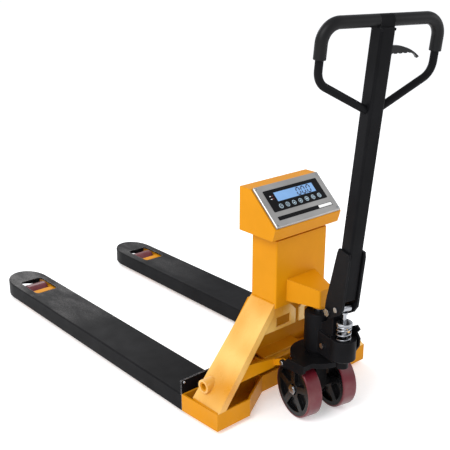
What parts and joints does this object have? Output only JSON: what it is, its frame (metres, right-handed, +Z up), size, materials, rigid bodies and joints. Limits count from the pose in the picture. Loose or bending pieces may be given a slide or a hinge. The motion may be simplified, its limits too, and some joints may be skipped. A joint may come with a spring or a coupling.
{
  "type": "pallet truck scale",
  "caption": "Hand pallet truck with weighing forks, an indicator console on a column, a steered hydraulic pump unit and a loop handle with a release lever.",
  "frame": {"origin": "bottom centre of the truck's bounding box at rest, on the floor", "axes": "+Y along the forks to their tips, +Z up, +X to the right seen from the handle"},
  "size_m": [0.685, 1.7209, 1.2195],
  "materials": {
    "yellow_paint": "semi-gloss orange-yellow powder coat",
    "black_paint": "satin black powder coat",
    "zinc": "bright zinc plate",
    "stainless": "brushed stainless steel",
    "polyurethane": "dark red cast polyurethane",
    "hub_black": "glossy black moulded nylon",
    "grip_black": "soft black dipped vinyl",
    "panel_film": "matt black polyester film",
    "lcd": "blue backlit display window",
    "key_black": "dark grey key cap",
    "cell_alloy": "machined alloy",
    "board": "green circuit board",
    "gland_nylon": "black nylon",
    "battery_case": "dark grey case"
  },
  "bodies": {
    "chassis": {"fork_cover_left": "black_paint", "fork_cover_right": "black_paint", "fork_frame_left": "yellow_paint", "fork_frame_right": "yellow_paint", "load_cells": "cell_alloy", "cover_screws": "zinc", "foot_left": "yellow_paint", "foot_right": "yellow_paint", "leg_left": "yellow_paint", "leg_right": "yellow_paint", "cross_panel": "yellow_paint", "front_gussets": "yellow_paint", "ram_bracket": "yellow_paint", "ram": "zinc", "console_column": "yellow_paint", "console_head": "yellow_paint", "console_back": "yellow_paint", "battery": "battery_case", "cable_gland": "gland_nylon", "indicator_case": "stainless", "indicator_overlay": "panel_film", "lcd_window": "lcd", "circuit_board": "board"},
    "key_1": {"key_1": "key_black"},
    "key_2": {"key_2": "key_black"},
    "key_3": {"key_3": "key_black"},
    "key_4": {"key_4": "key_black"},
    "key_5": {"key_5": "key_black"},
    "key_6": {"key_6": "key_black"},
    "key_7": {"key_7": "key_black"},
    "pump_seat": {"pump_seat": "black_paint", "seat_pins": "zinc"},
    "steering_unit": {"pump_base": "black_paint", "pump_body": "black_paint", "pump_bolts": "zinc", "valve_lever": "black_paint", "steer_axle": "zinc", "handle_shaft": "zinc", "pump_spring": "zinc"},
    "steer_wheel_left": {"steer_hub_left": "hub_black", "steer_tread_left": "polyurethane"},
    "steer_wheel_right": {"steer_hub_right": "hub_black", "steer_tread_right": "polyurethane"},
    "handle": {"handle_bracket": "black_paint", "roller_pin": "zinc", "handle_tube": "black_paint", "handle_loop": "black_paint", "grips": "grip_black"},
    "release_lever": {"release_lever": "hub_black"},
    "pump_roller": {"pump_roller": "zinc"},
    "pump_piston": {"pump_piston": "zinc"},
    "rocker": {"rocker": "yellow_paint"},
    "push_rod_left": {"push_rod_left": "yellow_paint"},
    "push_rod_right": {"push_rod_right": "yellow_paint"},
    "roller_bracket_left": {"roller_bracket_left": "yellow_paint", "roller_axle_left": "zinc"},
    "roller_bracket_right": {"roller_bracket_right": "yellow_paint", "roller_axle_right": "zinc"},
    "load_roller_left": {"load_roller_left": "polyurethane"},
    "load_roller_right": {"load_roller_right": "polyurethane"}
  },
  "joints": [
    {"name": "key_1_press", "type": "slide", "parent": "chassis", "child": "key_1", "axis": [0, 0.6791, -0.734], "range_m": [0, 0.0005], "stiffness_N_per_m": 500, "springref_m": -0.0005},
    {"name": "key_2_press", "type": "slide", "parent": "chassis", "child": "key_2", "axis": [0, 0.6791, -0.734], "range_m": [0, 0.0005], "stiffness_N_per_m": 500, "springref_m": -0.0005},
    {"name": "key_3_press", "type": "slide", "parent": "chassis", "child": "key_3", "axis": [0, 0.6791, -0.734], "range_m": [0, 0.0005], "stiffness_N_per_m": 500, "springref_m": -0.0005},
    {"name": "key_4_press", "type": "slide", "parent": "chassis", "child": "key_4", "axis": [0, 0.6791, -0.734], "range_m": [0, 0.0005], "stiffness_N_per_m": 500, "springref_m": -0.0005},
    {"name": "key_5_press", "type": "slide", "parent": "chassis", "child": "key_5", "axis": [0, 0.6791, -0.734], "range_m": [0, 0.0005], "stiffness_N_per_m": 500, "springref_m": -0.0005},
    {"name": "key_6_press", "type": "slide", "parent": "chassis", "child": "key_6", "axis": [0, 0.6791, -0.734], "range_m": [0, 0.0005], "stiffness_N_per_m": 500, "springref_m": -0.0005},
    {"name": "key_7_press", "type": "slide", "parent": "chassis", "child": "key_7", "axis": [0, 0.6791, -0.734], "range_m": [0, 0.0005], "stiffness_N_per_m": 500, "springref_m": -0.0005},
    {"name": "lift", "type": "slide", "parent": "chassis", "child": "pump_seat", "axis": [0, 0, -1], "range_m": [0, 0.11]},
    {"name": "steering", "type": "hinge", "parent": "pump_seat", "child": "steering_unit", "pos_m": [0, -0.6029, 0.192], "axis": [0, 0, 1], "range_deg": [-77.8, 102.2]},
    {"name": "steer_wheel_left_spin", "type": "hinge", "parent": "steering_unit", "child": "steer_wheel_left", "pos_m": [-0.06255, -0.58937, 0.09], "axis": [0.9774, -0.2113, 0], "continuous": true},
    {"name": "steer_wheel_right_spin", "type": "hinge", "parent": "steering_unit", "child": "steer_wheel_right", "pos_m": [0.06255, -0.61643, 0.09], "axis": [0.9774, -0.2113, 0], "continuous": true},
    {"name": "handle_tilt", "type": "hinge", "parent": "steering_unit", "child": "handle", "pos_m": [-0.01733, -0.68305, 0.372], "axis": [0.9774, -0.2113, 0], "range_deg": [0, 62], "stiffness_Nm_per_rad": 30, "springref_deg": -28.65},
    {"name": "pump_stroke", "type": "slide", "parent": "steering_unit", "child": "pump_piston", "axis": [0, 0, -1], "range_m": [0, 0.04552], "deforming": ["pump_spring"]},
    {"name": "pump_roller_spin", "type": "hinge", "parent": "handle", "child": "pump_roller", "pos_m": [-0.0253, -0.71991, 0.39466], "axis": [0.9774, -0.2113, 0], "continuous": true},
    {"name": "release_squeeze", "type": "hinge", "parent": "handle", "child": "release_lever", "pos_m": [-0.03704, -0.80262, 1.12804], "axis": [0.2099, 0.9707, 0.1167], "range_deg": [-10, 8], "stiffness_Nm_per_rad": 1},
    {"name": "rocker_turn", "type": "hinge", "parent": "chassis", "child": "rocker", "pos_m": [0, -0.4314, 0.12], "axis": [1, 0, 0], "range_deg": [0, 48.9]},
    {"name": "push_rod_left_pin", "type": "hinge", "parent": "rocker", "child": "push_rod_left", "pos_m": [-0.25, -0.44349, 0.09342], "axis": [1, 0, 0], "range_deg": [-48.9, 0]},
    {"name": "roller_bracket_left_turn", "type": "hinge", "parent": "chassis", "child": "roller_bracket_left", "pos_m": [-0.2665, 0.5506, 0.026], "axis": [1, 0, 0], "range_deg": [-45.67, 0]},
    {"name": "load_roller_left_spin", "type": "hinge", "parent": "roller_bracket_left", "child": "load_roller_left", "pos_m": [-0.2665, 0.7006, 0.035], "axis": [1, 0, 0], "continuous": true},
    {"name": "push_rod_right_pin", "type": "hinge", "parent": "rocker", "child": "push_rod_right", "pos_m": [0.25, -0.44349, 0.09342], "axis": [1, 0, 0], "range_deg": [-48.9, 0]},
    {"name": "roller_bracket_right_turn", "type": "hinge", "parent": "chassis", "child": "roller_bracket_right", "pos_m": [0.2665, 0.5506, 0.026], "axis": [1, 0, 0], "range_deg": [-45.67, 0]},
    {"name": "load_roller_right_spin", "type": "hinge", "parent": "roller_bracket_right", "child": "load_roller_right", "pos_m": [0.2665, 0.7006, 0.035], "axis": [1, 0, 0], "continuous": true}
  ],
  "couplings": [
    {"joint": "rocker_turn", "follows": "lift", "rad_per_m": 7.7583},
    {"joint": "pump_stroke", "follows": "handle_tilt", "m_per_rad": 0.04188},
    {"joint": "push_rod_left_pin", "follows": "lift", "rad_per_m": -7.7583},
    {"joint": "roller_bracket_left_turn", "follows": "lift", "rad_per_m": -7.2455},
    {"joint": "push_rod_right_pin", "follows": "lift", "rad_per_m": -7.7583},
    {"joint": "roller_bracket_right_turn", "follows": "lift", "rad_per_m": -7.2455}
  ]
}
